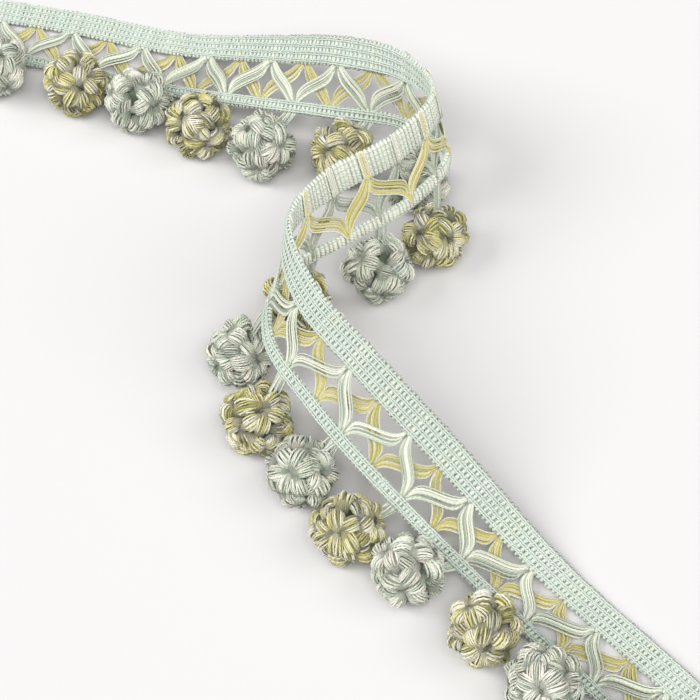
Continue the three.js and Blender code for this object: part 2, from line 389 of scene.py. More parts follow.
class TrellisSizes(PropertyGroup):
    """The two crossing zigzags of yarn bundles."""

    yarns: IntProperty(name="Yarns", description="Yarns side by side in a bundle", default=10, min=2)
    yarn_radius: length("Yarn radius", "Radius of one yarn", 0.29)
    rising_half: length("Rising half width", "Half a bundle halfway up to the heading", 2.4)
    falling_half: length("Falling half width", "Half a bundle halfway down from it", 2.0)
    half_pinch: length("Half pinch", "Half a bundle at a turn", 0.95)
    tuck: length("Tuck", "How far a turn goes in behind a band", 1.0)
    behind: length("Behind", "How far behind the trim's middle a turn passes", 1.15)
    front: length("Front", "How far the sage zigzag runs in front, and the olive one behind", 0.6)
    rising_sway: share("Rising sway", "How strongly a leg up bends into an S", 1.2, 1.5)
    falling_sway: share("Falling sway", "How strongly a leg down bends into an S", 0.6, 1.5)
    slack: share("First slack", "Share of the sway left in the first stretch, which is pulled", 0.5)
    bow: length("Bow", "How unevenly the legs bow in the trellis's plane", 0.35)
    drape: length("Drape", "How unevenly the legs bow out of it", 0.25)
    pile: length("Pile", "How unevenly a bundle's yarns lie on each other", 0.12)
    crown: length("Crown", "How far a bundle's middle yarns stand out", 0.15)
    floats: IntProperty(name="Floats", description="Yarns carried over the heading's back at a turn",
                        default=3, min=1)


class PompomSizes(PropertyGroup):
    """The looped-yarn balls."""

    petals: IntProperty(name="Petals", description="Bunches of loops round each of the six gathers",
                        default=6, min=3)
    loops: IntProperty(name="Loops", description="Loops in an outer bunch", default=13, min=3)
    inner_loops: IntProperty(name="Inner loops", description="Loops in an inner bunch", default=10,
                             min=3)
    yarn_radius: length("Yarn radius", "Radius of one yarn", 0.43)
    fullness: share("Fullness", "Reach of the loops, as a share of the solid ball's radius", 1.11, 1.2)
    core: share("Core", "Radius where the loops start, as a share of their reach", 0.5)
    half_run: share("Half run", "Half a bunch along its loops, as a share of its distance out", 0.42)
    half_spread: share("Half spread", "Half a bunch across them, as a share of its distance out", 0.28)
    dome: share("Dome", "Height of a bunch's rounded back, as a share of the reach", 0.27)
    pad_depth: length("Pad depth", "From a bunch's loops down to the packed yarn below", 0.65)
    together: share("Together", "Share of a bunch's yarn that has its leading colours", 0.45)
    rest: length("Rest", "Height below which the loops are pressed flat", 1.5)


class TieSizes(PropertyGroup):
    """The threads from the lower braid to each pompom."""

    strands: IntProperty(name="Strands", description="Strands in a tie", default=9, min=1)
    strand_radius: length("Strand radius", "Radius of one strand", 0.3)
    half_braid: length("Half width at the braid", "Half a tie where it leaves the braid", 1.9)
    half_pompom: length("Half width at the pompom", "Half a tie where it enters the pompom", 1.2)
    sag: length("Sag", "How far the strands hang and bow", 0.6)


class StageSettings(PropertyGroup):
    """Floor, light and camera."""

    floor: dye("Floor", "Colour of the table", 213, 212, 213)
    right: share("Right light", "Strength of the soft lamp at the right", 1.2, 10.0)
    left: share("Left light", "Strength of the soft lamp at the left", 2.1, 10.0)
    front: share("Front light", "Strength of the soft lamp at the front", 2.2, 10.0)
    fill: share("Fill light", "Strength of the light from all round", 0.15, 4.0)
    lens: FloatProperty(name="Lens", description="Focal length of the camera in millimetres",
                        default=130.2, min=1.0)
    elevation: FloatProperty(name="Elevation", description="Camera's angle above the table",
                             default=math.radians(55), subtype="ANGLE")
    distance: length("Distance", "From the camera to the point it looks at", 833.0)


# ---- Materials ---------------------------------------------------------------


def add_node(tree, kind, *inputs, **settings):
    """A node with its settings, and its inputs in order: a value, a socket, or None to leave."""
    node = tree.nodes.new(kind)
    for key, value in settings.items():
        setattr(node, key, value)
    for socket, value in zip(node.inputs, inputs):
        if isinstance(value, bpy.types.NodeSocket):
            tree.links.new(value, socket)
        elif value is not None:
            socket.default_value = value
    return node


def maths(tree, operation, *values):
    """The result of a Math node."""
    return add_node(tree, "ShaderNodeMath", *values, operation=operation).outputs[0]


def tinted(tree, colour, amount, tint=(0.0, 0.0, 0.0, 1.0)):
    """`colour` mixed towards `tint` by `amount`."""
    node = add_node(tree, "ShaderNodeMix", data_type="RGBA")
    tree.links.new(amount, node.inputs["Factor"])
    tree.links.new(colour, node.inputs["A"])
    node.inputs["B"].default_value = tint
    return node.outputs["Result"]


def new_group(name, inputs):
    """A shader group with a colour input, value inputs, and Colour, Roughness, Height outputs."""
    tree = bpy.data.node_groups.new(name, "ShaderNodeTree")
    tree.interface.new_socket("Colour", in_out="INPUT", socket_type="NodeSocketColor")
    for key, default in inputs:
        socket = tree.interface.new_socket(key, in_out="INPUT", socket_type="NodeSocketFloat")
        socket.default_value = default
    for key, kind in (("Colour", "Color"), ("Roughness", "Float"), ("Height", "Float")):
        tree.interface.new_socket(key, in_out="OUTPUT", socket_type=f"NodeSocket{kind}")
    return tree, tree.nodes.new("NodeGroupInput"), tree.nodes.new("NodeGroupOutput")


def noise(tree, place, stretch, scale=1.0, detail=2.0):
    """Noise over places multiplied by `stretch`."""
    stretched = add_node(tree, "ShaderNodeVectorMath", place, stretch, operation="MULTIPLY")
    node = add_node(tree, "ShaderNodeTexNoise", stretched.outputs[0])
    node.inputs["Scale"].default_value = scale
    node.inputs["Detail"].default_value = detail
    return node.outputs[0]


FLECK_COLOUR = (0.93, 0.9, 0.8, 1.0)


def plied_yarn_group():
    """Twisted plies and loose fibres.

    The plies are a sine of the distance along the yarn over the pitch, plus the turn round it
    times the plies, and their valleys are painted darker as shade. The fibres are noise stretched
    along the yarn, and a slow noise along the yarn gives the uneven take of the dye. Each lane
    keeps its colour in its middle and gets painted shade where it meets the next, as one less a
    cosine's size. A third noise, cut off low, leaves cream flecks, which are weaker on darker yarn.
    """
    # Ply depth and Edge set how strongly the ply valleys and the lanes' sides are painted dark as
    # shade.
    tree, given, result = new_group("Plied yarn", [
        ("Plies", 2.0), ("Pitch", 1.6), ("Ply depth", 0.12), ("Fibre", 0.25), ("Uneven dye", 0.2),
        ("Lift", 0.2), ("Edge", 0.3), ("Flecks", 0.0)])
    given, do = given.outputs, partial(maths, tree)
    uv = add_node(tree, "ShaderNodeUVMap", uv_map=YARN_UV).outputs[0]
    along, turn, _ = add_node(tree, "ShaderNodeSeparateXYZ", uv).outputs
    turns = do("ADD", do("DIVIDE", along, given["Pitch"]), do("MULTIPLY", turn, given["Plies"]))
    valley = do("MULTIPLY_ADD", do("SINE", do("MULTIPLY", turns, 2 * math.pi)), -0.5, 0.5)
    crown = do("ABSOLUTE", do("COSINE", do("MULTIPLY", turn, math.pi)))
    fibre = noise(tree, uv, (1.2, 9.0, 1.0), scale=2.2, detail=3.0)
    # Painted shade in the ply valleys; then random tone from the fibres and the uneven dye.
    dark = do("MULTIPLY", valley, given["Ply depth"])
    dark = do("MULTIPLY_ADD", fibre, given["Fibre"], dark)
    dark = do("MULTIPLY_ADD", noise(tree, uv, (0.22, 0.6, 1.0)), given["Uneven dye"], dark)
    # Painted shade towards each lane's edge, away from its middle.
    dark = do("MULTIPLY_ADD", do("SUBTRACT", 1.0, crown), given["Edge"], dark)
    dark = add_node(tree, "ShaderNodeClamp", do("SUBTRACT", dark, given["Lift"])).outputs[0]
    fleck = do("MULTIPLY_ADD", noise(tree, uv, (0.9, 3.0, 1.0)), 4.0, -1.9)
    pale = add_node(tree, "ShaderNodeClamp", fleck).outputs[0]
    strength = add_node(tree, "ShaderNodeRGBToBW", given["Colour"]).outputs[0]
    pale = do("MULTIPLY", do("MULTIPLY", pale, given["Flecks"]), strength)
    flecked = tinted(tree, given["Colour"], pale, FLECK_COLOUR)
    tree.links.new(tinted(tree, flecked, dark), result.inputs["Colour"])
    tree.links.new(do("MULTIPLY_ADD", valley, 0.12, 0.78), result.inputs["Roughness"])
    height = do("MULTIPLY_ADD", crown, 1.5, do("SUBTRACT", 1.0, valley))
    tree.links.new(do("MULTIPLY_ADD", fibre, 0.35, height), result.inputs["Height"])
    return tree


def warp_group():
    """Threads lying side by side along a band.

    The threads are the rounded top of a sine across the band, with painted shade darkening the
    colour between them, and a finer noise along each one breaks them up.
    """
    # Depth sets how dark the painted shade between the threads is.
    tree, given, result = new_group("Warp threads", [("Threads", 60.0), ("Depth", 0.25)])
    given, do = given.outputs, partial(maths, tree)
    uv = add_node(tree, "ShaderNodeUVMap", uv_map=YARN_UV).outputs[0]
    across = add_node(tree, "ShaderNodeSeparateXYZ", uv).outputs[1]
    turns = do("MULTIPLY", do("MULTIPLY", across, given["Threads"]), math.pi)
    crown = do("ABSOLUTE", do("SINE", turns))
    fibre = noise(tree, uv, (1.5, 120.0, 1.0), scale=5.0, detail=3.0)
    # Painted shade where neighbouring threads meet.
    between = do("MULTIPLY", do("SUBTRACT", 1.0, crown), given["Depth"])
    dark = add_node(tree, "ShaderNodeClamp", do("MULTIPLY_ADD", fibre, 0.3, between)).outputs[0]
    tree.links.new(tinted(tree, given["Colour"], dark), result.inputs["Colour"])
    tree.links.new(do("MULTIPLY_ADD", crown, -0.1, 0.92), result.inputs["Roughness"])
    tree.links.new(do("MULTIPLY_ADD", fibre, 0.3, crown), result.inputs["Height"])
    return tree


GROUPS = {"Plied yarn": plied_yarn_group, "Warp threads": warp_group}
FINISHES_AND_SHADE = {
    # A group, which also paints shade into the colour, the values that differ from its own, and the
    # relief's depth in millimetres.
    "band ground": ("Warp threads", {}, 0.12),
    "band yarn": ("Plied yarn", {"Pitch": 1.1, "Uneven dye": 0.15, "Edge": 0.1}, 0.12),
    "trellis yarn": ("Plied yarn", {"Pitch": 1.5, "Uneven dye": 0.25}, 0.12),
    "pompom yarn": ("Plied yarn", {"Pitch": 1.4, "Ply depth": 0.2, "Uneven dye": 0.3, "Lift": 0.25,
                                   "Edge": 0.25, "Flecks": 0.9}, 0.15),
}


def cloth_material(name):
    """A matt finish: the yarn colour painted on the mesh through the group, which adds painted shade,
    and its relief as bump.
    """
    material = bpy.data.materials.get(name)
    if material:
        return material
    group, values, depth = FINISHES_AND_SHADE[name]
    material = bpy.data.materials.new(name)
    material.use_nodes = True
    tree = material.node_tree
    shader = tree.nodes["Principled BSDF"]
    shader.inputs["Sheen Weight"].default_value = 0.25
    shader.inputs["Sheen Roughness"].default_value = 0.6
    shader.inputs["Specular IOR Level"].default_value = 0.25
    colour = add_node(tree, "ShaderNodeAttribute", attribute_name=YARN_COLOUR)
    finish = add_node(tree, "ShaderNodeGroup")
    finish.node_tree = bpy.data.node_groups.get(group) or GROUPS[group]()
    tree.links.new(colour.outputs["Color"], finish.inputs["Colour"])
    for key, value in values.items():
        finish.inputs[key].default_value = value
    relief = add_node(tree, "ShaderNodeBump")
    relief.inputs["Strength"].default_value = 0.8
    relief.inputs["Distance"].default_value = depth * MM
    tree.links.new(finish.outputs["Height"], relief.inputs["Height"])
    tree.links.new(finish.outputs["Colour"], shader.inputs["Base Color"])
    tree.links.new(finish.outputs["Roughness"], shader.inputs["Roughness"])
    tree.links.new(relief.outputs["Normal"], shader.inputs["Normal"])
    return material


# ---- The two woven bands -----------------------------------------------------


def band_place(sizes, hangs, at, across, out):
    """Points on a band, `across` from its lower edge: the heading, or the hanging braid."""
    if hangs:
        across = across - sizes.width - trellis_width(at)
    return lay_place(at, across, out)


def front_height(sizes, across):
    """How far a band's front stands out of its middle.

    The groove's height plus a rib's share of the crest's: the size of a cosine with half a wave
    from rib to rib. It all rounds down to the middle at both edges as a quarter circle.
    """
    inside = np.clip((across - sizes.edge) / (sizes.width - 2 * sizes.edge), 0, 1)
    rib = np.abs(np.cos(math.pi * (sizes.ribs - 1) * inside))
    edge = np.clip(np.minimum(across, sizes.width - across) / sizes.edge, 0, 1)
    return (sizes.groove + (sizes.crest - sizes.groove) * rib) * np.sqrt(1 - (1 - edge) ** 2)


BACK_PLACES = [0.96, 0.5, 0.04]  # shares of the way across, coming home along the back


def band_section(sizes, inset):
    """Places across and depths round a band's section, drawn in by `inset`.

    They go over the front by its height, and come home along the flat back.
    """
    share_across = np.linspace(0, 1, 4 * sizes.ribs + 3)
    front = front_height(sizes, share_across * sizes.width) * (1 - inset / sizes.crest)
    out = np.concatenate([front, np.full(len(BACK_PLACES), inset - sizes.back)])
    share_across = np.concatenate([share_across, BACK_PLACES])
    return inset / 2 + share_across * (sizes.width - inset), out


def pick_places():
    """The places along the trim of the band's picks."""
    picks = round((TRIM_END - TRIM_START) * PICKS_PER_REPEAT)
    return TRIM_START + (np.arange(picks) + 0.5) / PICKS_PER_REPEAT


PICK_SHADES, THREAD_SHADES = 0.25, 0.35  # how unevenly the mint yarns take their dye
TINT_REACH = 0.9  # picks to each side of a bundle's turn


def pick_colours(sizes, rng, dyes, at):
    """One colour a pick: mint of uneven strength, tinted where the bundles cross the band."""
    mint, pale, cream, gold = dyed(dyes, ("mint", "pale_mint", "cream", "gold"))
    strength = np.clip(rng.normal(sizes.light, PICK_SHADES, len(at)), 0, 1)[:, None]
    colours = mint + (pale - mint) * strength
    for turns, dye_there in ((np.round(at), (cream + gold) / 2), (np.floor(at) + 0.5, cream)):
        near = np.abs(at - turns) * PICKS_PER_REPEAT < TINT_REACH
        colours = np.where(near[:, None], (1 - sizes.tint) * colours + sizes.tint * dye_there, colours)
    return colours


GROUND_RINGS = 10  # to a repeat
GROUND_INSET = 1.15  # in half thicknesses of the weft
PICK_WANDER = 0.06  # of the distance from pick to pick
PICK_PLUMPNESS, PLUMP_RANGE = 0.12, (0.75, 1.25)  # how unevenly thick the picks are
REACH_RANGE = (0.5, 1.2)  # of the picks' turns, as shares of the stated reach
TURN_POWER = 12  # how sharply a pick swells at its turns
TURN_FORWARD = 0.2 * MM
TURN_PLUMPNESS = 0.7  # how much thicker a pick is at its turns
TURN_NARROWING = 0.3
BACK_FADE = 0.65  # share of the back weft's colour on a band's back
THREAD_DIP = 0.4  # of a thread between picks, in its radii
BACK_RISE, BACK_DIP = 1.3, 0.9  # radii: a back thread's climb to a pick, and its dip between
THREAD_STRAY = 0.06 * MM


def woven_band(sizes, hangs, dyes, rng):
    """The ground of a band, and the shapes of the yarn on it."""
    # The ground: a closed strip just inside the weft.
    rings = round((TRIM_END - TRIM_START) * GROUND_RINGS) + 1
    along = np.linspace(TRIM_START, TRIM_END, rings)
    across, out = band_section(sizes, GROUND_INSET * sizes.weft_thickness)
    rings = band_place(sizes, hangs, along[:, None], across[::-1], out[::-1])[None]
    # The ground's pale colour is partly painted light in the slots between picks.
    ground = skin(rings, lengths_along(rings.mean(2)),
                  np.broadcast_to(np.array(dyes.ground_mint), (1, len(along), 3)))
    # The weft: each pick is a ring of yarn right round the band. Its turns are rounder and stand
    # out of the edges, as a high power of the distance from the middle.
    at = pick_places()
    across, out = band_section(sizes, sizes.weft_thickness)
    wander = rng.normal(0, PICK_WANDER, len(at)) / PICKS_PER_REPEAT
    outer = 2 * across / sizes.width - 1
    turn = np.abs(outer) ** TURN_POWER
    reach = np.where(outer > 0, sizes.upper_reach, -sizes.lower_reach) * turn
    reach = reach * rng.uniform(*REACH_RANGE, (len(at), 1))
    paths = band_place(sizes, hangs, (at + wander)[:, None], across + reach,
                       out + TURN_FORWARD * turn)
    plump = np.clip(rng.normal(1, PICK_PLUMPNESS, len(at)), *PLUMP_RANGE)[:, None]
    half = np.where(out < 0, sizes.back_half, sizes.weft_half) * plump
    half = half * (1 - TURN_NARROWING * turn)
    behind = BACK_FADE * (out < 0)[:, None]
    picks = pick_colours(sizes, rng, dyes, at)[:, None]
    paint = picks * (1 - behind) + np.array(dyes.back_weft) * behind
    thickness = sizes.weft_thickness * (1 + TURN_PLUMPNESS * turn)
    weft = yarns(paths, half, lay_axes(at)[0][:, None], paint, sides=4, flat=thickness / half,
                 closed=True, starts=rng.uniform(0, 2, len(at)))
    # Threads along the band, two to a rib and evenly over the back, over each pick and down
    # between picks.
    steps = np.linspace(TRIM_START, TRIM_END, 2 * len(at) + 1)
    over = np.where(np.arange(len(steps)) % 2 == 1, 1.0, 0.0)
    ribs = np.linspace(sizes.edge, sizes.width - sizes.edge, sizes.ribs)[:, None]
    rows = (ribs + sizes.thread_gap * np.array([-0.5, 0.5])).reshape(-1, 1)
    back_rows = np.linspace(0.1, 0.9, max(2 * sizes.ribs - 3, 2))[:, None] * sizes.width
    out = front_height(sizes, rows) + sizes.thread_radius * (over - THREAD_DIP)
    back_out = -sizes.back - sizes.back_thread * (BACK_RISE * over - BACK_DIP)
    widthwise = lay_axes(steps)[1]
    mint, pale = dyed(dyes, ("mint", "pale_mint"))
    strength = np.clip(rng.normal(sizes.light, THREAD_SHADES, (len(rows), len(steps), 1)), 0, 1)
    stray = rng.normal(0, THREAD_STRAY, (len(rows), len(steps)))
    threads = yarns(band_place(sizes, hangs, steps, rows + stray, out), sizes.thread_radius,
                    -widthwise, mint + (pale - mint) * strength, sides=4)
    back_threads = yarns(band_place(sizes, hangs, steps, back_rows, back_out), sizes.back_thread,
                         widthwise, mint, sides=4)
    return ground, [weft, threads, back_threads]


# ---- The trellis -------------------------------------------------------------


def smooth(share_of_way):
    """The smooth step: three squares less two cubes."""
    return share_of_way**2 * (3 - 2 * share_of_way)


PULLED_TO, EASED_OVER = 5.5, 1.5  # repeats: the end of the pulled stretch, and its easing
SECOND_BEND = 0.23  # of a leg's finer bend, as a share of its main one
SWAY_RANGE, WIDTH_RANGE = (0.8, 1.1), (0.9, 1.1)  # of the legs, as shares of the stated size
COMES_OUT = 2.2  # how soon a leg comes out from behind the band
WIDENING = 0.7  # a power: the lower, the sooner a leg is at its full width
YARN_STRAY = 0.1  # of half a bundle
YARN_TONES = (0.86, 1.1)


def bundle(sizes, dyes, rng, low_turn, out, palette):
    """A zigzag of yarns side by side.

    It turns at the braid where the place less `low_turn` is whole, and at the heading half a
    repeat later. Along a leg the height goes evenly, and the place lags and catches up as two
    sines, so that the leg leaves both bands nearly squarely and bends into an S. The bundle is
    pinched at its turns and widens as the sine of half a turn. The first stretch is pulled
    straighter. Each leg and each yarn differs a little from the next.
    """
    steps = 14
    legs = np.arange(math.floor(2 * (TRIM_START - low_turn)) - 1,
                     math.ceil(2 * (TRIM_END - low_turn)) + 1)
    way = (np.arange(steps) / steps)[None]
    leg = legs[:, None]
    rising = leg % 2 == 0
    count = len(legs)
    eased = smooth(np.clip((low_turn + leg / 2 - PULLED_TO) / EASED_OVER, 0, 1))
    slack = sizes.slack + (1 - sizes.slack) * eased
    sway = np.where(rising, sizes.rising_sway, sizes.falling_sway) * slack
    sway = sway * rng.uniform(*SWAY_RANGE, (count, 1))
    lag = (np.sin(2 * math.pi * way) - SECOND_BEND * np.sin(4 * math.pi * way)) / (2 * math.pi)
    at = low_turn + (leg + way - sway * lag) / 2
    swell = np.sin(math.pi * way)
    climb = np.where(rising, way, 1 - way)
    bow = rng.normal(0, sizes.bow, (count, 1)) * swell
    width = trellis_width(at)
    across = -width - sizes.tuck + (width + 2 * sizes.tuck) * climb + bow
    drape = rng.normal(0, sizes.drape, (count, 1)) * swell
    showing = smooth(np.clip(COMES_OUT * swell, 0, 1))
    depth = (out + drape) * showing - sizes.behind * (1 - showing)
    # The yarns: offset across the bundle, which stands upright at a turn and leans on a leg.
    tilt = swell * np.where(rising, -1, 1) * math.pi / 4
    widest = np.where(rising, sizes.rising_half, sizes.falling_half)
    widest = widest * rng.uniform(*WIDTH_RANGE, (count, 1))
    half = sizes.half_pinch + (widest - sizes.half_pinch) * swell**WIDENING
    side = np.linspace(-1, 1, sizes.yarns)[:, None, None]
    stray = rng.normal(0, YARN_STRAY, (sizes.yarns, count, 1)) * swell
    offset = (side + stray) * half
    ahead, behind = lay_points(at + 0.5)[0], lay_points(at - 0.5)[0]
    repeat = np.linalg.norm(ahead - behind, axis=-1)
    yarn_at = at + offset * np.sin(tilt) / repeat
    yarn_across = across + offset * np.cos(tilt)
    pile = rng.normal(0, sizes.pile, (sizes.yarns, count, 1)) * swell
    yarn_out = depth + pile + sizes.crown * (1 - side**2) * swell * np.sign(out)
    inside = (at.ravel() >= TRIM_START) & (at.ravel() <= TRIM_END)
    yarn_at, yarn_across, yarn_out = (
        np.broadcast_to(a, (sizes.yarns, count, steps)).reshape(sizes.yarns, -1)[:, inside]
        for a in (yarn_at, yarn_across, yarn_out))
    paths = lay_place(yarn_at, yarn_across, yarn_out)
    base = dyed(dyes, palette)[:, None]
    tone = rng.uniform(*YARN_TONES, (sizes.yarns, count, 1, 1))
    paint = np.broadcast_to(base[:, :, None] * tone, (sizes.yarns, count, steps, 3))
    paint = np.clip(paint.reshape(sizes.yarns, -1, 3)[:, inside], 0, 1)
    return laid_yarns(rng, paths, sizes.yarn_radius, lay_axes(yarn_at)[2] * np.sign(out), paint)


CLIMB = 0.42  # share of a float's length that goes up the band's back, and again down
FIRST_LOOP, NEXT_LOOP = 0.0108, 0.0168  # repeats: half the narrowest loop, and what the next adds
FLOAT_CLEAR = 0.7  # of a yarn's radius, from the band's back to the middle of a float
FLOAT_TONES = (0.85, 1.05)
LOOP_PAST_EDGE = 0.5 * MM
LOOP_FORWARD = 0.6 * MM
FLOATS_PILED = 0.1 * MM


def back_floats(sizes, band, dyes, rng, turns, palette):
    """Yarns carried over the heading's back at each turn.

    Each goes up across the back, round a small loop at the outer edge, and down beside itself.
    """
    way = np.linspace(0, 1, 15)
    climb = np.clip(np.minimum(way, 1 - way) / CLIMB, 0, 1)
    loop = np.clip((way - CLIMB) / (1 - 2 * CLIMB), 0, 1)
    beside = -np.cos(math.pi * loop)
    lane = (np.arange(sizes.floats) - (sizes.floats - 1) / 2)[:, None]
    at = turns[:, None, None] + beside * (FIRST_LOOP + NEXT_LOOP * (lane - lane.min()))
    swell = np.sin(math.pi * loop)
    across = climb * band.width + swell * LOOP_PAST_EDGE + lane * FLOATS_PILED
    out = swell * LOOP_FORWARD - band.back - FLOAT_CLEAR * sizes.yarn_radius
    piled = FLOATS_PILED * np.sin(math.pi * climb)
    piled = piled + np.abs(rng.normal(0, FLOATS_PILED, (*at.shape[:2], 1)))
    paths = lay_place(at, across, out - piled).reshape(-1, len(way), 3)
    behind = -lay_axes(at)[2].reshape(-1, len(way), 3)
    base = dyed(dyes, palette)[:, None]
    paint = np.broadcast_to(base[None, : sizes.floats], (len(turns), sizes.floats, 1, 3))
    paint = paint.reshape(-1, 1, 3) * rng.uniform(*FLOAT_TONES, (len(paths), 1, 1))
    return laid_yarns(rng, paths, sizes.yarn_radius, behind, paint)


# ---- Pompoms and their ties --------------------------------------------------


def pompom_ball(number):
    """The centre and radius of a pompom's solid, whose top stands a radius above its centre."""
    low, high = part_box(f"pompom_{number:02d}")
    low, high = np.array(low), np.array(high)
    radius = high[2] / (1 + REST_HEIGHT)
    return np.array([(low[0] + high[0]) / 2, (low[1] + high[1]) / 2, REST_HEIGHT * radius]), radius


GATHER_STRAY, CORNER_STRAY, RUN_STRAY = 0.14, 0.15, 0.35  # radians
PETAL_STRAY = 0.03  # turns
PETAL_TILT = (0.95, 1.4)  # from a gather to the middle of a petal, in half runs


def petal_ways(sizes, rng):
    """Which way each bunch of loops faces, and which way it runs to where it is gathered.

    Six gathers stand about square to each other, and the petals lie round each, tilted by half
    their run and a little more. Inner bunches fill in at each gather and where three meet.
    """
    turned = np.linalg.qr(rng.normal(size=(3, 3)))[0]
    centres = np.concatenate([np.eye(3), -np.eye(3)]) + rng.normal(0, GATHER_STRAY, (6, 3))
    centres = unit(centres) @ turned
    level = unit(np.cross(centres, rng.normal(size=(6, 3))))[:, None]
    centres = centres[:, None]
    across = np.cross(centres, level)
    shape = (6, sizes.petals, 1)
    around = np.arange(sizes.petals)[:, None] / sizes.petals + rng.normal(0, PETAL_STRAY, shape)
    around = 2 * math.pi * (around + rng.random((6, 1, 1)))
    away = level * np.cos(around) + across * np.sin(around)
    tilt = sizes.half_run * rng.uniform(*PETAL_TILT, shape)
    outwards = (centres * np.cos(tilt) + away * np.sin(tilt)).reshape(-1, 3)
    run = (centres * np.sin(tilt) - away * np.cos(tilt)).reshape(-1, 3)
    astray = rng.normal(0, RUN_STRAY, (len(run), 1))
    run = run * np.cos(astray) + np.cross(outwards, run) * np.sin(astray)
    corners = np.stack(np.meshgrid([-1, 1], [-1, 1], [-1, 1]), axis=-1).reshape(-1, 3)
    corners = unit(corners + rng.normal(0, CORNER_STRAY, (8, 3))) @ turned
    inner = np.concatenate([corners, centres[:, 0]])
    inner_run = unit(np.cross(inner, rng.normal(size=inner.shape)))
    return (outwards, run), (corners, inner_run[:8]), (centres[:, 0], inner_run[8:])


ALONG_LOOP = np.linspace(0.03, 0.97, 8)  # places along a loop, from foot to foot
LEAN = 1.3  # radians round a bunch's back from its middle to its outermost loops
ARCH_SKEW, ARCH_POWER = 1.2, 0.7  # the powers of the way and of the sine in a loop's arch
BUNCH_SIZES, BUNCH_HEIGHTS = (0.85, 1.15), (0.88, 1.0)  # shares of the stated size
BUNCH_SKEW = 0.15
FEET = ((0.25, 0.7), (0.5, 1.1))  # a bunch's width at its first and last feet: least, and most
LEAN_STRAY, TALL_STRAY, TWIST_STRAY = 0.05, 0.018, 0.07  # from loop to loop of a bunch
CHANGE_RANGE, CHANGE_SHARPNESS = (0.2, 0.8), 2.5  # where along a loop its colour changes
LOOP_TONES = (0.88, 1.2)
PAD_DEPTH, PAD_WIDTH = 0.9, 0.95  # of a pad, as shares of its bunch's
# The rest of a pad's colour is painted shade.
PAD_OWN = 0.6  # share of the bunch's own colour in its pad
PAD_YARNS = 20


def loop_bunches(sizes, rng, outwards, run, loops, reach, palette, chances, deep):
    """Bunches of yarn loops all round a ball's centre, each on a pad of packed yarn.

    A loop is an arch over the ball's face: its distance out rises from the core as a power of a
    sine, and it leans to one side and then the other as the cosine. The loops of a bunch fan
    out side by side and are gathered at their feet, most of all at the first. There the yarn
    fades into the shade colour, as painted shade in the crevices. Across a bunch the loops lie
    on an arc of a circle. Along a loop one colour turns into another. The pad is one wide flat
    loop just below, of many yarns side by side, its colour mixed with painted shade.
    """
    count = len(outwards)
    outwards, run = outwards[:, None, None], run[:, None, None]
    spread = np.cross(outwards, run)
    rise, cosine = np.sin(math.pi * ALONG_LOOP), np.cos(math.pi * ALONG_LOOP)
    swell = np.sin(math.pi * ALONG_LOOP**ARCH_SKEW) ** ARCH_POWER
    core = sizes.core * reach
    size = rng.uniform(*BUNCH_SIZES, (count, 1, 1))
    tallest = rng.uniform(*BUNCH_HEIGHTS, (count, 1, 1))
    skew, shear = rng.normal(0, BUNCH_SKEW, (2, count, 1, 1))
    first, last = rng.uniform(*FEET, (count, 1, 2)).transpose(2, 0, 1)[..., None]
    gather = first * (1 + cosine) / 2 + last * (1 - cosine) / 2
    open_share = sizes.half_spread * size * (gather + (1 - gather) * rise)

    def arches(side, tall, twist):
        out = core + ((reach - sizes.yarn_radius) * tall - core) * swell
        along = sizes.half_run * size * cosine * (0.7 + 0.3 * rise) * (1 - 0.1 * side**2)
        along = along + shear * sizes.half_spread * side * rise
        beside = open_share * side + skew * along
        ways = outwards + run * (along - twist * beside)[..., None]
        ways = unit(ways + spread * (beside + twist * along)[..., None])
        return ways * out[..., None]

    each = (count, loops, 1)
    lean = np.linspace(-LEAN, LEAN, loops)[:, None] + rng.normal(0, LEAN_STRAY, each)
    tall = tallest - sizes.dome * (1 - np.cos(lean)) + rng.normal(0, TALL_STRAY, each)
    paths = arches(np.sin(lean) / math.sin(LEAN), tall, rng.normal(0, TWIST_STRAY, each))
    picked = rng.choice(len(palette), size=(2, count, loops), p=chances)
    lead = rng.choice(len(palette), size=(2, count, 1), p=chances)
    picked = np.where(rng.random((2, count, loops)) < sizes.together, lead, picked)
    change = rng.uniform(*CHANGE_RANGE, each)
    later = np.clip(CHANGE_SHARPNESS * (ALONG_LOOP - change) + 0.5, 0, 1)[..., None]
    before, after = palette[picked][:, :, :, None]
    tone = rng.uniform(*LOOP_TONES, each)[..., None]
    # Painted shade: towards its feet a loop's colour gives way to the deep shade colour.
    unshaded_share = np.clip(1.6 * rise - 0.5, 0, 1)[:, None]
    paint = (before + (after - before) * later) * tone * unshaded_share + deep * (1 - unshaded_share)
    rows = (count * loops, len(ALONG_LOOP), 3)
    across = np.broadcast_to(spread, paths.shape)
    wound = yarns(paths.reshape(rows), sizes.yarn_radius, across.reshape(rows),
                  np.clip(paint, 0, 1).reshape(rows), sides=3,
                  starts=rng.uniform(0, 3, count * loops))
    pad = PAD_DEPTH * sizes.dome * reach
    lowered = tallest - (sizes.pad_depth + pad) / reach
    middle = arches(np.zeros((count, 1, 1)), lowered, 0.0)[:, 0]
    half = PAD_WIDTH * open_share[:, 0] * np.linalg.norm(middle, axis=-1)
    colour = palette[lead].mean(0)
    # The pad's colour is the bunch's own mixed with painted shade, and all painted shade at its feet.
    shade = (PAD_OWN * colour + (1 - PAD_OWN) * deep) * unshaded_share + deep * (1 - unshaded_share)
    packed = yarns(middle, half, spread[:, 0], shade, sides=8, flat=pad / half, lanes=PAD_YARNS)
    return [wound, packed]


LAYERS = (
    # The loops in a bunch, its reach, and how much of the yarn's own colour it shows; the rest is
    # painted shade.
    ("loops", 1.0, 1.0),
    ("inner_loops", 0.93, 0.65),
    ("inner_loops", 0.84, 0.1),
)


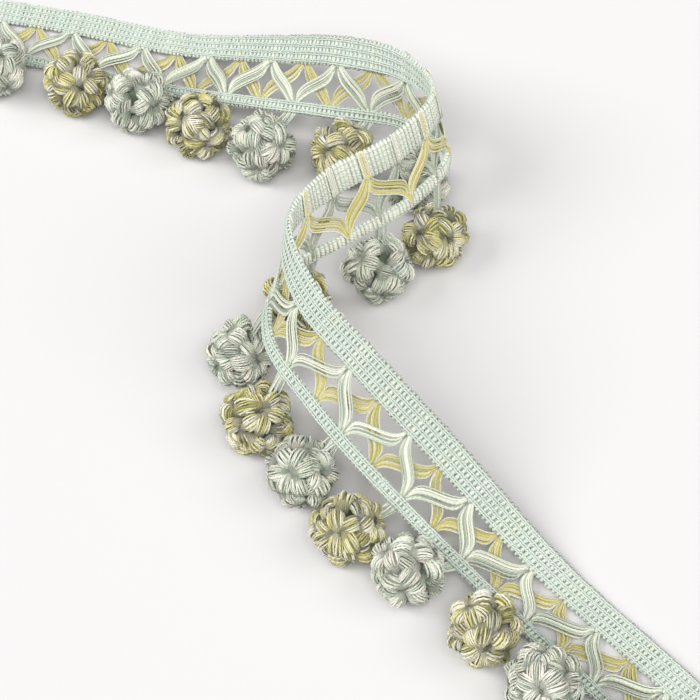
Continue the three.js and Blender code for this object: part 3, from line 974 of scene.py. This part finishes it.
# The core is a ball in the deep shade colour, painted shade inside the pompom.
CORE_FILL = 1.2  # of the dark core, as a share of the radius where the loops start


def pompom_loops(sizes, rng, centre, reach, palette, chances, deep):
    """Petals of loops, lower bunches that fill in between them, and the ball's core, painted dark as
    shade.
    """
    shapes = []
    for ways, (loops, out, own) in zip(petal_ways(sizes, rng), LAYERS):
        # The lower bunches are mixed towards the shade colour, as painted shade between the petals.
        shaded = own * palette + (1 - own) * deep
        shapes += loop_bunches(sizes, rng, *ways, getattr(sizes, loops), out * reach, shaded,
                               chances, deep)
    core = sizes.core * reach * CORE_FILL
    polar = np.linspace(0.04, 0.96, 10) * math.pi
    axis = np.outer(-np.cos(polar), (0, 0, core))
    # The core ball, painted in the deep colour as the shade inside the pompom.
    shapes.append(yarns(axis[None], core * np.sin(polar), (1.0, 0.0, 0.0), deep, sides=14))
    for shape in shapes:
        shape["points"] = pressed(shape["points"] + centre, sizes.rest)
    return shapes


def pressed(points, rest):
    """Points with their height eased onto the table: below `rest` it dies away exponentially."""
    points = points.copy()
    low = points[:, 2] < rest
    points[low, 2] = rest * np.exp((points[low, 2] - rest) / rest)
    return points


TIE_START = (0.6 * MM, -0.2 * MM)  # up from the braid's lower edge, and out of its middle
TIE_DEPTH = 0.45  # of a tie's end in a pompom, as a share of the radius from its centre
TIE_STRAY = 0.45 * MM
TIE_BULGE = 0.5 * MM
SAG_RANGE = (0.3, 1.2)  # of the strands, as shares of the stated sag


def tie_strands(sizes, band, dyes, rng, number, centre, radius):
    """Strands from the braid's lower edge into the pompom, fanned at the braid."""
    way = np.linspace(0, 1, 10)[None, :, None]
    side = np.linspace(-1, 1, sizes.strands)[:, None]
    at = np.float64(number)
    repeat = np.linalg.norm(lay_points(at + 0.5)[0] - lay_points(at - 0.5)[0])
    start = band_place(band, True, at + side[:, 0] * sizes.half_braid / repeat, *TIE_START)
    lengthwise, _, front = lay_axes(at)
    towards = unit(centre - start.mean(0))
    across = unit(np.cross(towards, front))
    end = centre - towards * radius * TIE_DEPTH - across * side * sizes.half_pompom
    bow = np.sin(math.pi * way)
    sag = sizes.sag * rng.uniform(*SAG_RANGE, (sizes.strands, 1, 1)) * bow * (0, 0, -1)
    stray = rng.normal(0, TIE_STRAY, (sizes.strands, 1, 3)) * bow
    bulge = lengthwise * side[:, None] * TIE_BULGE * bow
    paths = start[:, None] * (1 - way) + end[:, None] * way + sag + stray + bulge
    base = dyed(dyes, ("soft_sage", "sage", "pale_mint", "cream", "mint", "sage"))
    paint = base[np.arange(sizes.strands) % len(base)][:, None]
    return laid_yarns(rng, paths, sizes.strand_radius, front, paint)


# ---- Operators ---------------------------------------------------------------


TABLE_HALF = 3.0
CAMERA_AIM = (8.0 * MM, 2.5 * MM, 0.0)
LAMPS = {
    # How wide an angle each fills, how far it leans from overhead to the camera, and sideways.
    "right": (45, 10, 46),
    "left": (34, 6, -50),
    "front": (44, 30, 0),
}


class TRIM_OT_set_stage(Operator):
    """Set the pale table, the soft light and the camera"""

    bl_idname = "trim.set_stage"
    bl_label = "Set the stage"

    def execute(self, context):
        settings = context.scene.trim_stage
        quarters = ((-1, -1), (1, -1), (1, 1), (-1, 1))
        corners = [(x * TABLE_HALF, y * TABLE_HALF, 0) for x, y in quarters]
        mesh = bpy.data.meshes.new("table")
        mesh.from_pydata(corners, [], [(0, 1, 2, 3)])
        material = bpy.data.materials.new("pale table")
        material.use_nodes = True
        shader = material.node_tree.nodes["Principled BSDF"]
        shader.inputs["Base Color"].default_value = (*settings.floor, 1.0)
        shader.inputs["Roughness"].default_value = 0.9
        shader.inputs["Specular IOR Level"].default_value = 0.1
        mesh.materials.append(material)
        table = add_object("table", mesh)

        world = bpy.data.worlds.new("soft room")
        world.use_nodes = True
        background = world.node_tree.nodes["Background"]
        background.inputs["Color"].default_value = (0.97, 0.985, 1.0, 1.0)
        background.inputs["Strength"].default_value = settings.fill
        context.scene.world = world

        for side, (angle, lean, sideways) in LAMPS.items():
            lamp = bpy.data.lights.new(f"{side} lamp", "SUN")
            lamp.energy, lamp.color = getattr(settings, side), (1.0, 0.99, 0.975)
            lamp.angle = math.radians(angle)
            lamp_object = add_object(lamp.name, lamp)
            lamp_object.rotation_euler = (math.radians(lean), math.radians(sideways), 0.0)

        camera = bpy.data.cameras.new("camera")
        camera.lens = settings.lens
        camera.clip_start, camera.clip_end = 0.01, 20.0
        camera_object = add_object("camera", camera)
        back = (0.0, -math.cos(settings.elevation), math.sin(settings.elevation))
        camera_object.location = [a + b * settings.distance for a, b in zip(CAMERA_AIM, back)]
        camera_object.rotation_euler = (math.pi / 2 - settings.elevation, 0.0, 0.0)
        context.scene.camera = camera_object
        context.scene.view_settings.view_transform = "Standard"
        return {"FINISHED"}


def weave_band(scene, name, hangs):
    """Make a band's ground, which takes its solid's place, and the yarn round it."""
    rng = np.random.default_rng(SEEDS[name])
    ground, woven = woven_band(getattr(scene, f"trim_{name}"), hangs, scene.trim_dyes, rng)
    strip = make_piece(f"{name}_ground", [ground], cloth_material("band ground"))
    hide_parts(name)
    weft = make_piece(f"{name}_weft", woven, cloth_material("band yarn"))


class TRIM_OT_weave_heading(Operator):
    """Weave the ribbed heading"""

    bl_idname = "trim.weave_heading"
    bl_label = "Weave the heading"

    def execute(self, context):
        weave_band(context.scene, "heading", False)
        return {"FINISHED"}


class TRIM_OT_weave_lower_braid(Operator):
    """Weave the narrow braid that carries the pompoms"""

    bl_idname = "trim.weave_lower_braid"
    bl_label = "Weave the lower braid"

    def execute(self, context):
        weave_band(context.scene, "lower_braid", True)
        return {"FINISHED"}


class TRIM_OT_lay_trellis(Operator):
    """Lay the two crossing zigzags of yarn between the bands"""

    bl_idname = "trim.lay_trellis"
    bl_label = "Lay the trellis"

    def execute(self, context):
        scene = context.scene
        sizes, dyes, band = scene.trim_trellis, scene.trim_dyes, scene.trim_heading
        rng = np.random.default_rng(SEEDS["trellis"])
        zigzags = [
            # Its name, the first place where it turns at the braid, how far it is in front of
            # the middle, its floats' yarns, and the yarns across its bundle.
            ("sage", 0.0, sizes.front, ["cream", "soft_sage", "back_weft"],
             ["sage", "soft_sage", "sage", "slate", "sage",
              "soft_sage", "cream", "sage", "soft_sage", "sage"]),
            ("olive", 0.5, -sizes.front, ["butter", "gold", "cream"],
             ["cream", "gold", "olive", "gold", "butter",
              "gold", "olive", "gold", "olive", "butter"]),
        ]
        for name, low_turn, out, float_palette, palette in zigzags:
            yarn_dyes = [palette[i % len(palette)] for i in range(sizes.yarns)]
            legs = bundle(sizes, dyes, rng, low_turn, out, yarn_dyes)
            first = math.ceil(TRIM_START - low_turn - 0.5)
            turns = np.arange(first, TRIM_END - low_turn - 0.5) + low_turn + 0.5
            floats = back_floats(sizes, band, dyes, rng, turns, float_palette)
            piece = make_piece(f"trellis_{name}_yarns", [legs, floats], cloth_material("trellis yarn"))
            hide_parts(f"trellis_{name}")
        return {"FINISHED"}


class TRIM_OT_wind_pompoms(Operator):
    """Wind the looped-yarn pompoms"""

    bl_idname = "trim.wind_pompoms"
    bl_label = "Wind the pompoms"

    def execute(self, context):
        scene = context.scene
        sizes, dyes = scene.trim_pompom, scene.trim_dyes
        kinds = [
            # Its name, which nothing uses, its yarns, the chance of each, and the colour for the
            # painted shade deep inside.
            ("sage", ("cream", "soft_sage", "sage", "slate", "pale_mint", "blush"),
             (0.26, 0.28, 0.22, 0.1, 0.1, 0.04), dyes.sage_crevice_shade),
            ("olive", ("butter", "gold", "olive", "moss", "mauve", "cream"),
             (0.22, 0.16, 0.24, 0.2, 0.07, 0.11), dyes.olive_crevice_shade),
        ]
        for number in range(1, POMPOMS + 1):
            slot, keys, chances, deep = kinds[(number - 1) % 2]
            rng = np.random.default_rng(SEEDS["pompoms"] + number)
            centre, radius = pompom_ball(number)
            shapes = pompom_loops(sizes, rng, centre, radius * sizes.fullness, dyed(dyes, keys),
                                  chances, np.array(deep))
            piece = make_piece(f"pompom_{number:02d}_loops", shapes, cloth_material("pompom yarn"))
            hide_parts(f"pompom_{number:02d}")
        return {"FINISHED"}


class TRIM_OT_tie_pompoms(Operator):
    """Tie each pompom to the lower braid"""

    bl_idname = "trim.tie_pompoms"
    bl_label = "Tie the pompoms"

    def execute(self, context):
        scene = context.scene
        rng = np.random.default_rng(SEEDS["ties"])
        strands = []
        for number in range(1, POMPOMS + 1):
            centre, radius = pompom_ball(number)
            strands.append(tie_strands(scene.trim_tie, scene.trim_lower_braid, scene.trim_dyes,
                                       rng, number, centre, radius))
        piece = make_piece("pompom_ties", strands, cloth_material("trellis yarn"))
        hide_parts(*[f"tie_{number:02d}" for number in range(1, POMPOMS + 1)])
        return {"FINISHED"}


class VIEW3D_PT_trim(Panel):
    """The trim's sizes, colours and steps"""

    bl_label = "Pompom fringe trim"
    bl_idname = "VIEW3D_PT_trim"
    bl_space_type = "VIEW_3D"
    bl_region_type = "UI"
    bl_category = "Trim"

    def draw(self, context):
        for operator in OPERATORS:
            self.layout.operator(operator.bl_idname)
        for key, (group, label) in SETTINGS.items():
            box = self.layout.box()
            box.label(text=label)
            for name in group.__annotations__:
                box.prop(getattr(context.scene, key), name)


SETTINGS = {
    "trim_dyes": (TrimDyesLightAndShade, "Dyes"),
    "trim_heading": (HeadingSizes, "Heading"),
    "trim_lower_braid": (LowerBraidSizes, "Lower braid"),
    "trim_trellis": (TrellisSizes, "Trellis"),
    "trim_pompom": (PompomSizes, "Pompoms"),
    "trim_tie": (TieSizes, "Ties"),
    "trim_stage": (StageSettings, "Stage"),
}
OPERATORS = (TRIM_OT_set_stage, TRIM_OT_weave_heading, TRIM_OT_weave_lower_braid,
             TRIM_OT_lay_trellis, TRIM_OT_wind_pompoms, TRIM_OT_tie_pompoms)
CLASSES = (*(group for group, _ in SETTINGS.values()), *OPERATORS, VIEW3D_PT_trim)


def register():
    for cls in CLASSES:
        bpy.utils.register_class(cls)
    for key, (group, _) in SETTINGS.items():
        setattr(bpy.types.Scene, key, PointerProperty(type=group))


def unregister():
    for key in SETTINGS:
        delattr(bpy.types.Scene, key)
    for cls in reversed(CLASSES):
        bpy.utils.unregister_class(cls)


MEASURED_AT = 400  # places along the heading


def declare_cloth():
    """Work out the heading's width and points along its middle; nothing uses them."""
    width = round(bpy.context.scene.trim_heading.width, 6)
    middle = lay_place(np.linspace(TRIM_START, TRIM_END, MEASURED_AT), width / 2, 0.0)


def main():
    """Make the trim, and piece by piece."""
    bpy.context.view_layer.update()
    register()
    bpy.ops.trim.set_stage()
    bpy.ops.trim.weave_heading()
    bpy.ops.trim.weave_lower_braid()
    bpy.ops.trim.lay_trellis()
    bpy.ops.trim.wind_pompoms()
    bpy.ops.trim.tie_pompoms()
    declare_cloth()


if __name__ == "__main__":
    main()
